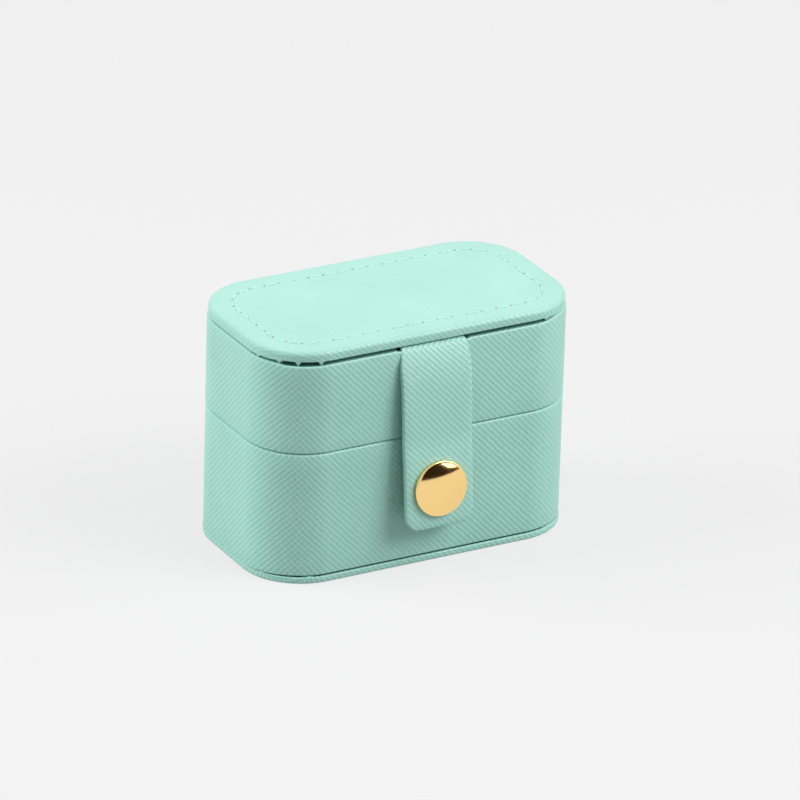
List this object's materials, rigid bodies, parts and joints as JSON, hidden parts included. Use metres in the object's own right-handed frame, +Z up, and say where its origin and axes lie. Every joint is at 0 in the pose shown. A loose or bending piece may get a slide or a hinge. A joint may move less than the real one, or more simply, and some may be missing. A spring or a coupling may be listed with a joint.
{
  "type": "jewelry case",
  "caption": "Small ring case with leather-wrapped base and lid, rounded corners, velvet ring bars inside and a front strap that closes on a round metal snap",
  "frame": {"origin": "middle of the underside, on the plane that the case stands on", "axes": "+Z up, the front with the strap and snap to -Y, +X to the right seen from the front"},
  "size_m": [0.0902, 0.0574, 0.064],
  "materials": {
    "mint_leather": "satin",
    "cream_velvet": "matte",
    "grey_board": "matte",
    "foam": "matte",
    "gold_metal": "polished",
    "spring_steel": "satin"
  },
  "bodies": {
    "base": {"bottom_cover": "mint_leather", "bottom_board": "grey_board", "base_wall_board": "grey_board", "base_wall_cover": "mint_leather", "base_wall_lining": "cream_velvet", "insert_card": "grey_board", "ring_bar_foam_1": "foam", "ring_bar_foam_2": "foam", "ring_bar_foam_3": "foam", "ring_bar_foam_4": "foam", "ring_bar_velvet_1": "cream_velvet", "ring_bar_velvet_2": "cream_velvet", "ring_bar_velvet_3": "cream_velvet", "ring_bar_velvet_4": "cream_velvet", "snap_stud": "gold_metal", "snap_rivet": "gold_metal", "hinge_base_leaf": "mint_leather"},
    "lid": {"lid_wall_board": "grey_board", "lid_wall_cover": "mint_leather", "lid_wall_lining": "cream_velvet", "lid_panel_board": "grey_board", "lid_panel_foam": "foam", "lid_panel_cover": "mint_leather", "lid_ceiling_card": "grey_board", "lid_ceiling_velvet": "cream_velvet", "hinge_lid_leaf": "mint_leather", "strap_root": "mint_leather"},
    "strap": {"strap_front": "mint_leather", "strap_back": "mint_leather", "snap_cap": "gold_metal", "snap_socket": "gold_metal", "snap_spring": "spring_steel"}
  },
  "joints": [
    {"name": "lid_hinge", "type": "hinge", "parent": "base", "child": "lid", "pos_m": [0, 0.025, 0.036], "axis": [-1, 0, 0], "range_deg": [0, 120]},
    {"name": "strap_flex", "type": "hinge", "parent": "lid", "child": "strap", "pos_m": [0, -0.02689, 0.05925], "axis": [-1, 0, 0], "range_deg": [0, 120]}
  ]
}
